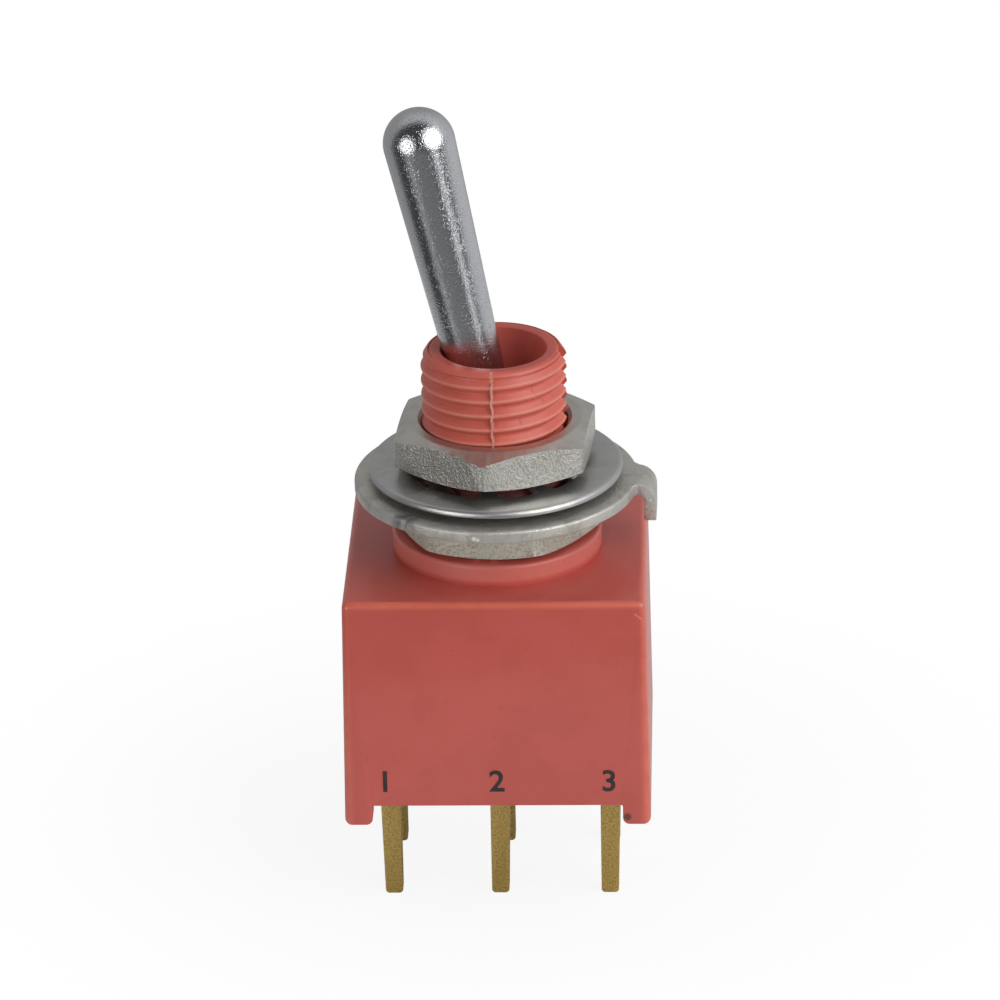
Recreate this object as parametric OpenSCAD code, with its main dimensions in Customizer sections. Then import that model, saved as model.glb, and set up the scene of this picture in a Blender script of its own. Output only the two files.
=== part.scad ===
// Sealed miniature toggle switch: two poles, two positions, six pins for a circuit board.
// X is the way the lever throws, Y runs to the back and Z is up from the board's face.
// The origin is the middle of the six pins, on the board's face.

/* [Case] */
// Width of the case across its top
case_w = 12.6; // [12.4:0.1:14]
// Depth of the case, front to back
case_d = 12.2; // [11.8:0.1:13.5]
// Height of the case's top face above the board
case_h = 10.3; // [10.1:0.1:11.5]
// Lean of the two side faces, which widens the case downwards (degrees)
case_draft = 0.83; // [0:0.01:1.5]
// Rounding of the case's edges
edge_r = 0.28; // [0.1:0.01:0.5]
// Thickness of the case's side walls at the top, and of its front and back walls
case_wall = 0.85; // [0.75:0.05:1.1]
// Thickness of the case's roof
roof_t = 1.0; // [0.8:0.05:1.2]
// Height of the two standoff rails under the case
rail_h = 0.9; // [0.6:0.05:1.0]
// Width of each standoff rail
rail_w = 1.18; // [0.8:0.01:1.25]

/* [Bushing] */
// Diameter of the bushing over its thread
thread_d = 6.12; // [6.0:0.01:6.35]
// Diameter of the thread's core, which the nuts' bores run on
core_d = 5.62; // [5.5:0.01:5.7]
// Length of the bushing from the case's top face to its rim
bushing_l = 8.93; // [8.8:0.01:9.5]
// Diameter of the collar round the bushing's foot
collar_d = 8.84; // [8.0:0.01:9.2]
// Height of the collar
collar_h = 0.9; // [0.6:0.05:1.1]
// Outer diameter of the flat rim, inside its lead-in
rim_d = 5.6; // [5.2:0.05:5.8]
// Height of the lead-in below the rim
rim_lead = 0.45; // [0.2:0.05:0.7]
// Diameter of the mouth that the lever swings in
mouth_d = 4.46; // [4.36:0.01:4.6]
// Width of the keyway down the bushing
keyway_w = 0.86; // [0.7:0.01:1.0]
// Depth of the keyway
keyway_t = 0.36; // [0.25:0.01:0.45]
// Turn of the keyway and the locating ring about the bushing (degrees)
key_turn = -1; // [-5:0.5:5]

/* [Lever] */
// Lean of the lever at rest, half of its throw (degrees)
lever_lean = 12; // [10:0.25:12]
// Length from the pivot to the middle of the lever's head
lever_l = 13.8; // [12:0.1:16]
// Diameter of the lever's round head
head_d = 3.0; // [2.6:0.05:3.1]
// Diameter of the lever's cone, carried down to the pivot
neck_d = 2.1; // [1.9:0.05:2.12]
// Depth of the pivot below the bushing's rim
pivot_depth = 4.38; // [4.2:0.01:4.45]
// Diameter of the lever's ball
ball_d = 4.2; // [4.1:0.02:4.3]
// Diameter of the cross pin through the ball
cross_pin_d = 0.9; // [0.7:0.05:0.9]
// Length of the cross pin
cross_pin_l = 4.9; // [4.6:0.05:4.9]
// Diameter of the lever's tail
tail_d = 1.6; // [1.3:0.05:1.7]
// Section of the sealing ring on the ball
seal_ring_t = 0.7; // [0.6:0.05:0.8]
// Height of the sealing ring above the pivot
seal_ring_h = 0.95; // [0.92:0.01:1.0]

/* [Nuts and washers] */
// Width of the hex nuts across their flats
nut_af = 7.94; // [7.8:0.01:8.1]
// Height of the hex nuts
nut_h = 1.75; // [1.5:0.05:2.0]
// Slope of the chamfer on the nuts' corners (degrees)
nut_chamfer = 20; // [10:1:30]
// Diameter of the round where the nuts' chamfers start
nut_face_d = 7.28; // [7.0:0.01:7.6]
// Turn of the upper nut (degrees)
upper_nut_turn = -5.5; // [-30:0.5:30]
// Turn of the lower nut (degrees)
lower_nut_turn = -6; // [-30:0.5:30]
// Outer diameter of the locating ring
ring_d = 11.92; // [11:0.02:12.4]
// Thickness of the locating ring
ring_t = 0.5; // [0.4:0.05:0.6]
// Width of the locating ring's bent tab
tab_w = 2.1; // [1.4:0.05:2.4]
// Reach of the bent tab from the bushing's axis
tab_reach = 6.75; // [6.5:0.05:7.2]
// Drop of the bent tab below the ring's top face
tab_drop = 1.85; // [1.4:0.05:2.2]
// Outer diameter of the toothed lock washer
washer_d = 10.7; // [9.8:0.02:11.2]
// Thickness of the lock washer
washer_t = 0.3; // [0.25:0.01:0.4]
// Width of each tooth of the lock washer
tooth_w = 1.2; // [1.0:0.05:1.3]
// Twist of each tooth (degrees)
tooth_twist = 30; // [24:1:32]

/* [Terminals] */
// Distance from the middle of an end pin to the end wall of the case's pocket
pin_room = 0.75; // [0.7:0.01:0.9]
// Distance between the front and the rear row
pin_row = 4.83; // [4.75:0.01:4.9]
// Length of the pins below the board's upper face
pin_l = 5.0; // [3:0.1:6]
// Width of a pin at the case
pin_w = 0.88; // [0.7:0.02:1.0]
// Width of a pin at its tip
pin_tip_w = 0.74; // [0.5:0.02:0.8]
// Thickness of the pins
pin_t = 0.76; // [0.5:0.02:0.8]
// Thickness of the insulating base that holds the terminals
base_t = 1.6; // [1.2:0.05:1.7]
// Thickness of the sealing compound below the base
seal_t = 0.45; // [0.3:0.05:0.6]

/* [Contacts] */
// Thickness of the rocking contacts
rocker_t = 0.35; // [0.25:0.01:0.4]
// Width of the rocking contacts, front to back
rocker_w = 2.2; // [1.8:0.05:2.3]
// Lean of a rocking contact when it is closed (degrees)
rocker_lean = 7; // [6:0.25:8]
// Height of the rocking contacts' axis above the insulating base
rocker_h = 0.92; // [0.8:0.02:1.0]
// Radius of the bead that a rocking contact turns on
bead_r = 0.35; // [0.25:0.01:0.4]
// Half length of the rocking contacts' dished middle
dish_x = 2.6; // [2.5:0.05:2.8]
// Diameter of the contact rivets
rivet_d = 1.2; // [0.8:0.05:1.3]
// Height of the contact rivets below the rocking contacts
rivet_t = 0.2; // [0.1:0.05:0.25]
// Diameter of the sprung plungers
plunger_d = 1.6; // [1.4:0.05:1.7]
// Diameter of the plungers' round tips
plunger_tip_d = 1.0; // [0.8:0.05:1.1]
// Height of the actuator that carries the plungers
actuator_h = 3.3; // [3.2:0.05:3.5]
// Wire of the plunger springs
spring_wire = 0.14; // [0.1:0.01:0.16]

/* [Hidden] */
$fn = 64;

// Running gap round what slides or turns, and between stacked or fitted pieces
run_gap = 0.05;
fit_gap = 0.01;
// How far a cutter passes the face that it opens
past = 0.5;

// Case
half_foot_w = case_w / 2 + case_h * tan(case_draft);
cavity_w = case_w - 2 * case_wall;
pocket_d = case_d - 2 * case_wall;
ledge_w = 0.6;
cavity_top = case_h - roof_t;
cavity_r = 0.5;

// Bushing and pivot
rim_z = case_h + bushing_l;
thread_r = thread_d / 2;
pivot_z = rim_z - pivot_depth;
seat_r = ball_d / 2 + run_gap;
// The lever's cone, leaning to its stop, just clears the mouth all the way down
mouth_slope = tan(lever_lean) + (head_d - neck_d) / 2 / lever_l;
throat_r = mouth_d / 2 - pivot_depth * mouth_slope;
collar_edge = 0.12;
keyway_foot = 0.2;
slot_y = cross_pin_l / 2 + run_gap;
seal_ring_r = sqrt(pow(seat_r - 0.03 - seal_ring_t / 2, 2) - pow(seal_ring_h, 2));

// Nuts and washers, from the collar up
nut_z1 = case_h + collar_h + fit_gap;
ring_z = nut_z1 + nut_h + fit_gap;
tooth_stack = tooth_w * sin(tooth_twist) + washer_t * cos(tooth_twist);
tooth_mid_z = ring_z + ring_t + fit_gap + tooth_stack / 2;
washer_lift = 0.035;
nut_z2 = tooth_mid_z + tooth_stack / 2 + fit_gap;
thread_play = 0.05;
hole_r = thread_r + thread_play;
nut_bore_r = core_d / 2 + thread_play;
tooth_tip_r = hole_r + 0.08;
tooth_root_r = 3.85;
tooth_count = 10;
upper_corner_cut = 0.04;
lower_corner_cut = 0.18;
nut_entry = 0.18;
key_play = 0.05;
tab_bend = 0.85;
tab_end_r = 0.5;

// Terminals: the end pins stand next to the pocket's end walls, 4.7 from the middle ones
pin_pitch = cavity_w / 2 - pin_room;
seal_z = rail_h + 0.15;
base_z = seal_z + seal_t + fit_gap;
base_top = base_z + base_t;
rocker_z = base_top + rocker_h;
head_x = 1.6;
head_y = 2.0;
head_gap = 0.12;
fixed_r = 0.6;
tip_chamfer = 0.16;
rib_h = 1.75;
rib_room = 0.1;

// Plungers and actuator, measured down from the pivot along the lever
plunger_reach = pivot_z - (rocker_z + rocker_t + run_gap);
tip_r = plunger_tip_d / 2;
// Middle of a plunger's tip in a closed rocking contact's own axes
tip_x = (plunger_reach - tip_r) * sin(lever_lean);
tip_z = rocker_t + run_gap + tip_r + (plunger_reach - tip_r) * (1 - cos(lever_lean));
tip_u = tip_x * cos(rocker_lean) - tip_z * sin(rocker_lean);
tip_v = tip_z * cos(rocker_lean) + tip_x * sin(rocker_lean) - rocker_t;
tip_room = tip_r + run_gap;
// The dish that lets the tip pass from end to end with an even gap
dish_r = (pow(tip_u, 2) + pow(tip_v, 2) - pow(tip_room, 2)) / (2 * (tip_v - tip_room));
wing_z = rocker_t + dish_r - sqrt(pow(dish_r, 2) - pow(dish_x, 2));
wing_x = pin_pitch + 0.45;
// Axis of the round top of a side terminal, which meets the tilted rivet
fixed_z = (wing_z - rocker_t - rivet_t - fixed_r - run_gap - pin_pitch * sin(rocker_lean))
    / cos(rocker_lean);
actuator_bottom = plunger_reach - 0.95;
actuator_top = actuator_bottom - actuator_h;
barrel_r = plunger_d / 2 + run_gap;
barrel_wall = 0.45;
hub_r = 1.4;
spring_seat = actuator_top + 0.7;
plunger_top = spring_seat + 1.0;
cup_r = plunger_d / 2 - 0.2;
cup_end = plunger_reach - 1.05;
shoulder = plunger_reach - 0.85;
tail_end = actuator_top + 1.95;
spring_r = cup_r - 0.05 - spring_wire / 2;
spring_turns = 5;

// Points of an outline whose corners are given as [x, y, rounding]
function unit(v) = v / norm(v);
function corner(a, b, c, r, steps = 6) =
    r <= 0 ? [b] :
    let (
        u = unit(a - b), v = unit(c - b),
        half = acos(u * v) / 2,
        mid = b + unit(u + v) * r / sin(half),
        from = b + u * r / tan(half) - mid,
        to = b + v * r / tan(half) - mid,
        start = atan2(from[1], from[0]),
        turn = (atan2(to[1], to[0]) - start + 540) % 360 - 180
    )
    [for (i = [0:steps]) mid + r * [cos(start + turn * i / steps), sin(start + turn * i / steps)]];
function xy(p) = [p[0], p[1]];
function rounded(points) =
    let (n = len(points))
    [for (i = [0:n - 1])
        each corner(xy(points[(i + n - 1) % n]), xy(points[i]), xy(points[(i + 1) % n]), points[i][2])];
function box_outline(x, y, r) = rounded([[-x, -y, r], [x, -y, r], [x, y, r], [-x, y, r]]);

// Extrudes an outline drawn in X and Z along Y, centred on y
module along_y(y, depth) {
    translate([0, y + depth / 2, 0]) rotate([90, 0, 0]) linear_extrude(depth) children();
}

// Places what is drawn along the upright lever into its leaning rest position
module on_lever() {
    translate([0, 0, pivot_z]) rotate([0, -lever_lean, 0]) children();
}

// ---- Case ----

// The case seen from the front: leaning sides and two rails with rounded ends
module front_outline() {
    rail_x = half_foot_w - rail_w;
    polygon(rounded([
        [-half_foot_w, 0, edge_r], [-rail_x, 0, edge_r], [-rail_x, rail_h, 0.1],
        [rail_x, rail_h, 0.1], [rail_x, 0, edge_r], [half_foot_w, 0, edge_r],
        [case_w / 2, case_h, edge_r], [-case_w / 2, case_h, edge_r]
    ]));
}

// The case seen from the side
module side_outline() {
    y = case_d / 2;
    polygon(rounded([[-y, 0, 0], [y, 0, 0], [y, case_h, edge_r], [-y, case_h, edge_r]]));
}

// A long block with one leaning side face, whose two upright edges are rounded
module leaning_side(side) {
    far = 2 * case_w;
    y = case_d / 2;
    translate([side * half_foot_w, 0, 0]) rotate([0, -side * case_draft, 0])
        translate([0, 0, -past]) linear_extrude(case_h + 2 * past)
            polygon(rounded([[0, -y, edge_r], [0, y, edge_r], [-side * far, y, 0], [-side * far, -y, 0]]));
}

module case_block() {
    intersection() {
        along_y(0, case_d + 2 * past) front_outline();
        rotate([0, 0, 90]) along_y(0, 2 * case_w) side_outline();
        leaning_side(1);
        leaning_side(-1);
    }
}

// The pocket for the terminals, which a ledge narrows above the insulating base
module case_cavity() {
    translate([0, 0, -past]) linear_extrude(base_top + fit_gap + past)
        polygon(box_outline(cavity_w / 2, pocket_d / 2, cavity_r));
    translate([0, 0, base_top]) linear_extrude(cavity_top - base_top)
        polygon(box_outline(cavity_w / 2, pocket_d / 2 - ledge_w, cavity_r));
}

// Collar and bushing, turned about the lever's axis: the thread's crests, cut to its core at the nuts
module bushing_block() {
    c = collar_d / 2;
    core = core_d / 2;
    above_1 = nut_z1 + nut_h + fit_gap;
    below_2 = nut_z2 - fit_gap;
    above_2 = nut_z2 + nut_h + fit_gap;
    rotate_extrude() polygon([
        [0, cavity_top], [c, cavity_top], [c, case_h + collar_h - collar_edge],
        [c - collar_edge, case_h + collar_h], [core, case_h + collar_h],
        [core, above_1], [thread_r, above_1], [thread_r, below_2],
        [core, below_2], [core, above_2], [thread_r, above_2],
        [thread_r, rim_z - rim_lead], [rim_d / 2, rim_z], [0, rim_z]
    ]);
}

// The mouth, the round seat of the ball and the way that the lever goes in from below
module lever_bore() {
    rotate_extrude() polygon([
        [0, pivot_z], [throat_r, pivot_z], [mouth_d / 2, rim_z],
        [mouth_d / 2 + past * mouth_slope, rim_z + past], [0, rim_z + past]
    ]);
    translate([0, 0, pivot_z]) sphere(r = seat_r);
    translate([0, 0, cavity_top - past]) cylinder(r = seat_r, h = pivot_z - cavity_top + past);
}

// Slots in the bore that guide the cross pin's ends, closed by rounds at the pivot
module pin_slots() {
    r = cross_pin_d / 2 + run_gap;
    translate([0, 0, pivot_z]) rotate([90, 0, 0]) cylinder(r = r, h = 2 * slot_y, center = true);
    translate([-r, -slot_y, cavity_top - past])
        cube([2 * r, 2 * slot_y, pivot_z - cavity_top + past]);
}

module keyway() {
    rotate([0, 0, key_turn])
        translate([thread_r - keyway_t, -keyway_w / 2, case_h + collar_h + keyway_foot])
            cube([thread_r, keyway_w, bushing_l]);
}

module housing() {
    color([0.68, 0.31, 0.28]) difference() {
        union() {
            difference() {
                case_block();
                case_cavity();
            }
            bushing_block();
        }
        lever_bore();
        pin_slots();
        keyway();
    }
}

// ---- Lever ----

module lever_rod() {
    rotate_extrude() polygon([
        [0, -tail_end], [tail_d / 2 - tip_chamfer, -tail_end], [tail_d / 2, tip_chamfer - tail_end],
        [tail_d / 2, 0], [neck_d / 2, 0], [head_d / 2, lever_l], [0, lever_l]
    ]);
    translate([0, 0, lever_l]) sphere(d = head_d);
}

module ring_groove(gap) {
    rotate_extrude() translate([seal_ring_r, seal_ring_h]) circle(r = seal_ring_t / 2 + gap, $fn = 32);
}

module toggle_lever() {
    color([0.75, 0.76, 0.78]) on_lever() difference() {
        union() {
            lever_rod();
            sphere(d = ball_d);
        }
        ring_groove(fit_gap);
        rotate([90, 0, 0]) cylinder(d = cross_pin_d + 2 * fit_gap, h = 2 * ball_d, center = true);
    }
}

module pivot_pin() {
    color([0.7, 0.7, 0.72]) on_lever() rotate([90, 0, 0])
        cylinder(d = cross_pin_d, h = cross_pin_l, center = true, $fn = 32);
}

module lever_o_ring() {
    color([0.08, 0.08, 0.08]) on_lever() ring_groove(0);
}

// ---- Nuts and washers ----

// The corners stand corner_cut short of a sharp hexagon's
module hex_nut(z, turn, corner_cut) {
    sharp_r = nut_af / 2 / cos(30);
    corner_r = sharp_r + 0.1;
    start = nut_face_d / 2;
    drop = (corner_r - start) * tan(nut_chamfer);
    entry_r = thread_r + nut_entry;
    entry_h = entry_r - nut_bore_r;
    translate([0, 0, z]) difference() {
        intersection() {
            rotate([0, 0, turn]) cylinder(r = sharp_r, h = nut_h, $fn = 6);
            cylinder(r = sharp_r - corner_cut, h = nut_h);
            rotate_extrude() polygon([
                [0, 0], [start, 0], [corner_r, drop], [corner_r, nut_h - drop], [start, nut_h], [0, nut_h]
            ]);
        }
        rotate_extrude() polygon([
            [0, -past], [entry_r + past, -past], [nut_bore_r, entry_h],
            [nut_bore_r, nut_h - entry_h], [entry_r + past, nut_h + past], [0, nut_h + past]
        ]);
    }
}

module upper_nut() {
    color([0.66, 0.65, 0.62]) hex_nut(nut_z2, upper_nut_turn + 30, upper_corner_cut);
}

module lower_nut() {
    color([0.66, 0.65, 0.62]) hex_nut(nut_z1, lower_nut_turn, lower_corner_cut);
}

// A flat rim with short teeth inside it, each twisted about its own length
module lock_washer() {
    color([0.6, 0.6, 0.6]) {
        translate([0, 0, tooth_mid_z + washer_lift - washer_t / 2]) difference() {
            cylinder(d = washer_d, h = washer_t);
            translate([0, 0, -past]) cylinder(r = tooth_root_r, h = washer_t + 2 * past);
        }
        for (i = [0:tooth_count - 1])
            rotate([0, 0, (i + 0.5) * 360 / tooth_count])
                translate([tooth_tip_r, 0, tooth_mid_z]) rotate([tooth_twist, 0, 0])
                    translate([0, -tooth_w / 2, -washer_t / 2])
                        cube([tooth_root_r + 0.25 - tooth_tip_r, tooth_w, washer_t]);
    }
}

// A flat ring with a key inside it and a tab bent down outside it
module locating_ring() {
    root_x = ring_d / 2 - 0.7;
    key_x = thread_r - keyway_t + key_play;
    key_y = keyway_w / 2 - key_play;
    color([0.68, 0.67, 0.64]) translate([0, 0, ring_z]) rotate([0, 0, key_turn]) {
        linear_extrude(ring_t) {
            difference() {
                circle(d = ring_d);
                circle(r = hole_r);
            }
            translate([key_x, -key_y]) square([root_x - key_x, 2 * key_y]);
            polygon([
                [root_x, -tab_w / 2 - 0.75], [root_x + 0.75, -tab_w / 2], [root_x + 0.75, tab_w / 2],
                [root_x, tab_w / 2 + 0.75]
            ]);
        }
        intersection() {
            along_y(0, tab_w) polygon(rounded([
                [root_x, 0, 0], [tab_reach - ring_t, 0, tab_bend - ring_t],
                [tab_reach - ring_t, ring_t - tab_drop, 0], [tab_reach, ring_t - tab_drop, 0],
                [tab_reach, ring_t, tab_bend], [root_x, ring_t, 0]
            ]));
            rotate([0, 0, 90]) along_y(0, 3 * tab_reach) polygon(rounded([
                [-tab_w / 2, ring_t - tab_drop, tab_end_r], [tab_w / 2, ring_t - tab_drop, tab_end_r],
                [tab_w / 2, ring_t + past, 0], [-tab_w / 2, ring_t + past, 0]
            ]));
        }
    }
}

// ---- Actuator and plungers ----

module actuator() {
    color([0.93, 0.91, 0.85]) on_lever() difference() {
        translate([0, 0, -actuator_bottom]) linear_extrude(actuator_h) {
            circle(r = hub_r);
            square([2 * barrel_r, pin_row], center = true);
            for (side = [-1, 1]) translate([0, side * pin_row / 2]) circle(r = barrel_r + barrel_wall);
        }
        translate([0, 0, -tail_end - fit_gap])
            cylinder(d = tail_d + 2 * fit_gap, h = tail_end, $fn = 48);
        for (side = [-1, 1])
            translate([0, side * pin_row / 2, -actuator_bottom - past])
                cylinder(r = barrel_r, h = actuator_bottom - spring_seat + past, $fn = 48);
    }
}

// A round-nosed cup that slides in the actuator
module plunger(side) {
    r = plunger_d / 2;
    color([0.85, 0.72, 0.38]) on_lever() translate([0, side * pin_row / 2, 0]) difference() {
        union() {
            rotate_extrude() polygon([
                [0, -plunger_top], [r, -plunger_top], [r, -shoulder],
                [tip_r, tip_r - plunger_reach], [0, tip_r - plunger_reach]
            ]);
            translate([0, 0, tip_r - plunger_reach]) sphere(r = tip_r, $fn = 48);
        }
        translate([0, 0, -cup_end]) cylinder(r = cup_r, h = cup_end, $fn = 48);
    }
}

// Height along a spring of a point a given number of turns up: closed end turns, open middle
function spring_rise(t) =
    let (low = spring_wire * 1.05, open = (spring_length - 2 * low) / (spring_turns - 2))
    t < 1 ? t * low : t > spring_turns - 1 ? spring_length - (spring_turns - t) * low : low + (t - 1) * open;
spring_length = cup_end - spring_seat - spring_wire - 2 * fit_gap;
spring_steps = 16;
spring_sides = 6;

module plunger_spring(side) {
    n = spring_steps * spring_turns;
    m = spring_sides;
    points = [for (i = [0:n], k = [0:m - 1])
        let (
            a = 360 * i / spring_steps, b = 360 * k / m,
            r = spring_r + spring_wire / 2 * cos(b)
        )
        [r * cos(a), r * sin(a), spring_rise(i / spring_steps) + spring_wire / 2 * sin(b)]];
    walls = [for (i = [0:n - 1], k = [0:m - 1])
        [i * m + k, i * m + (k + 1) % m, (i + 1) * m + (k + 1) % m, (i + 1) * m + k]];
    start_cap = [for (k = [0:m - 1]) m - 1 - k];
    end_cap = [for (k = [0:m - 1]) n * m + k];
    color([0.55, 0.55, 0.56]) on_lever()
        translate([0, side * pin_row / 2, spring_wire / 2 + fit_gap - cup_end])
            polyhedron(points, concat([start_cap], [end_cap], walls));
}

// ---- Rocking contacts ----

// Half of the dished strip and its flat wing, seen from the front
module rocker_half() {
    intersection() {
        translate([0, rocker_t + dish_r]) difference() {
            circle(r = dish_r + rocker_t, $fn = 180);
            circle(r = dish_r, $fn = 180);
        }
        square([dish_x, wing_z + rocker_t]);
    }
    translate([dish_x - 0.05, wing_z - rocker_t]) square([wing_x - dish_x + 0.05, rocker_t]);
}

module rocker(side) {
    color([0.86, 0.84, 0.8]) translate([0, side * pin_row / 2, rocker_z]) rotate([0, rocker_lean, 0]) {
        along_y(0, rocker_w) {
            rocker_half();
            mirror([1, 0]) rocker_half();
            difference() {
                circle(r = bead_r, $fn = 48);
                translate([-bead_r, rocker_t / 2]) square(2 * bead_r);
            }
        }
        for (end = [-1, 1]) translate([end * pin_pitch, 0, wing_z - rocker_t - rivet_t])
            cylinder(d = rivet_d, h = rivet_t + rocker_t / 2, $fn = 32);
    }
}

// ---- Terminals ----

// A pin with one straight edge and one tapering edge; taper is the side that narrows
module pin_blade(taper) {
    w = pin_w / 2;
    tip = w - (pin_w - pin_tip_w);
    along_y(0, pin_t) polygon([
        [-taper * w, base_top + past], [-taper * w, tip_chamfer - pin_l],
        [-taper * (w - tip_chamfer), -pin_l], [taper * (tip - tip_chamfer), -pin_l],
        [taper * tip, tip_chamfer - pin_l], [taper * w, rail_h], [taper * w, base_top + past]
    ]);
}

// A side terminal, whose head rises to a round fixed contact
module side_terminal(end, side, taper) {
    top = rocker_z + fixed_z;
    color([0.78, 0.64, 0.3]) translate([end * pin_pitch, side * pin_row / 2, 0]) {
        pin_blade(taper);
        along_y(0, head_y) {
            intersection() {
                translate([0, top]) circle(r = fixed_r, $fn = 48);
                translate([-fixed_r, base_top + fit_gap]) square(3 * fixed_r);
            }
            translate([-fixed_r, base_top + fit_gap]) square([2 * fixed_r, top - base_top - fit_gap]);
        }
    }
}

// A common terminal, whose head is grooved for the rocking contact's bead
module common_terminal(side, taper) {
    top = rocker_z - head_gap;
    color([0.78, 0.64, 0.3]) translate([0, side * pin_row / 2, 0]) difference() {
        union() {
            pin_blade(taper);
            translate([-head_x / 2, -head_y / 2, base_top + fit_gap])
                cube([head_x, head_y, top - base_top - fit_gap]);
        }
        translate([0, 0, rocker_z]) rotate([90, 0, 0])
            cylinder(r = bead_r + run_gap, h = 2 * head_y, center = true, $fn = 48);
    }
}

// The slots that the six pins stand in
module pin_openings() {
    for (end = [-1:1], side = [-1, 1])
        translate([end * pin_pitch, side * pin_row / 2, 0])
            cube([pin_w + 2 * fit_gap, pin_t + 2 * fit_gap, 4 * base_top], center = true);
}

// The insulating base, with ribs that keep the two rocking contacts in their lanes
module terminal_base() {
    lane = rocker_w + 2 * run_gap;
    outer_y = pin_row / 2 + lane / 2;
    inner_y = pin_row / 2 - lane / 2;
    rib_t = pocket_d / 2 - ledge_w - rib_room - outer_y;
    color([0.16, 0.15, 0.15]) difference() {
        union() {
            translate([0, 0, base_z]) linear_extrude(base_t)
                polygon(box_outline(cavity_w / 2 - fit_gap, pocket_d / 2 - fit_gap, cavity_r));
            translate([-pin_pitch, -inner_y, base_top - past]) cube([2 * pin_pitch, 2 * inner_y, rib_h + past]);
            for (side = [-1, 1]) translate([0, side * (outer_y + rib_t / 2), base_top + rib_h / 2])
                cube([2 * pin_pitch, rib_t, rib_h + 2 * past], center = true);
        }
        pin_openings();
    }
}

module terminal_seal() {
    color([0.12, 0.1, 0.1]) difference() {
        translate([0, 0, seal_z]) linear_extrude(seal_t)
            polygon(box_outline(cavity_w / 2 - fit_gap, pocket_d / 2 - fit_gap, cavity_r));
        pin_openings();
    }
}

housing();
toggle_lever();
pivot_pin();
lever_o_ring();
upper_nut();
lock_washer();
locating_ring();
lower_nut();
actuator();
plunger(-1);  // plunger_front
plunger(1);  // plunger_rear
plunger_spring(-1);  // plunger_spring_front
plunger_spring(1);  // plunger_spring_rear
rocker(-1);  // rocker_front
rocker(1);  // rocker_rear
side_terminal(-1, -1, -1);  // terminal_front_left
common_terminal(-1, 1);  // terminal_front_common
side_terminal(1, -1, 1);  // terminal_front_right
side_terminal(-1, 1, -1);  // terminal_rear_left
common_terminal(1, -1);  // terminal_rear_common
side_terminal(1, 1, 1);  // terminal_rear_right
terminal_base();
terminal_seal();
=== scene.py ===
"""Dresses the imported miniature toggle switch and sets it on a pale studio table.

Pieces are modelled in millimetres and brought to metres once, by to_metres. X is the way the
lever throws, Y runs to the back and Z is up from the circuit board's face.
"""

import logging
import math
from dataclasses import dataclass
from enum import Enum
from functools import cached_property, partialmethod
from typing import Any, Callable, ClassVar, Iterable, Mapping, Optional, Sequence, Union

import bmesh
import bpy
from mathutils import Matrix, Vector

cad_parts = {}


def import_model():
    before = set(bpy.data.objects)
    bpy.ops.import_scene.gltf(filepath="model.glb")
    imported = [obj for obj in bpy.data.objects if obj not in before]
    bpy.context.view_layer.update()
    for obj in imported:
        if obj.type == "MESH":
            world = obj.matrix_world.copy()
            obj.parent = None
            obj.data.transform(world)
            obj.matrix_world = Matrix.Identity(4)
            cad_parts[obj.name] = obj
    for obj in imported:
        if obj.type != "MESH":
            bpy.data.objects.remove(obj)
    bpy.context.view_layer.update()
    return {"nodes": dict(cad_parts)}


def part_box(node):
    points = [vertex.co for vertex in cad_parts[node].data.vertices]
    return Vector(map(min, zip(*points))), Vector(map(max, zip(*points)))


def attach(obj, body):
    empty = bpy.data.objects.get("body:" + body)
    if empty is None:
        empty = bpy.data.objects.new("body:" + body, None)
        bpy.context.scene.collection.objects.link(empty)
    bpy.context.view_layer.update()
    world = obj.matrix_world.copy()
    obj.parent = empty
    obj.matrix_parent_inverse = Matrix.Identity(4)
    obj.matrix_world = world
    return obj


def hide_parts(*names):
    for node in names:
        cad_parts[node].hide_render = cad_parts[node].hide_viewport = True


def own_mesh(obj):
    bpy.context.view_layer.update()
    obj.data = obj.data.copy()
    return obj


LOG = logging.getLogger("toggle_switch")
MM = 0.001
FULL_TURN = 2 * math.pi
LYING = (math.pi / 2, 0, 0)

# Sizes that several pieces go by, in millimetres and degrees
CASE_TOP = 10.3
COLLAR_TOP = 11.2
PIVOT_Z = 14.85
LEVER_LEAN = 12.0
KEY_TURN = -1.0
PIN_PITCH = 4.7

ops = bpy.ops.mesh
Obj = bpy.types.Object
Material = bpy.types.Material
Corner = Sequence[float]
Point = tuple[float, float]
Spot = tuple[float, float, float]
Colour = tuple[float, float, float]
Test = Callable[[Vector], bool]


# ---- Modelling ----


class Join(Enum):
    """How one closed shape is combined with another."""

    CUT = "DIFFERENCE"
    ADD = "UNION"
    MEET = "INTERSECT"


def outline(corners: Sequence[Corner], steps: int = 5) -> list[Point]:
    """Rounds the corners of an outline.

    Args:
        corners: Corners as (across, up), or as (across, up, rounding).
        steps: Edges in each rounding.

    Returns:
        The outline's points.
    """
    spots = [Vector(corner[:2]) for corner in corners]
    points: list[Point] = []
    for i, (at, corner) in enumerate(zip(spots, corners)):
        if len(corner) == 2:
            points.append(tuple(at))
            continue
        radius = corner[2]
        u, v = (spots[i - 1] - at).normalized(), (spots[(i + 1) % len(spots)] - at).normalized()
        half = u.angle(v) / 2
        middle = at + (u + v).normalized() * (radius / math.sin(half))
        start, end = (at + way * (radius / math.tan(half)) - middle for way in (u, v))
        first = math.atan2(start.y, start.x)
        turn = (math.atan2(end.y, end.x) - first + 3 * math.pi) % FULL_TURN - math.pi
        angles = [first + turn * k / steps for k in range(steps + 1)]
        points += [tuple(middle + Vector((math.cos(a), math.sin(a))) * radius) for a in angles]
    return points


def is_near(value: float, target: float) -> bool:
    """Whether a place lies within some hundredths of a millimetre of another."""
    return abs(value - target) <= 0.02


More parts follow.
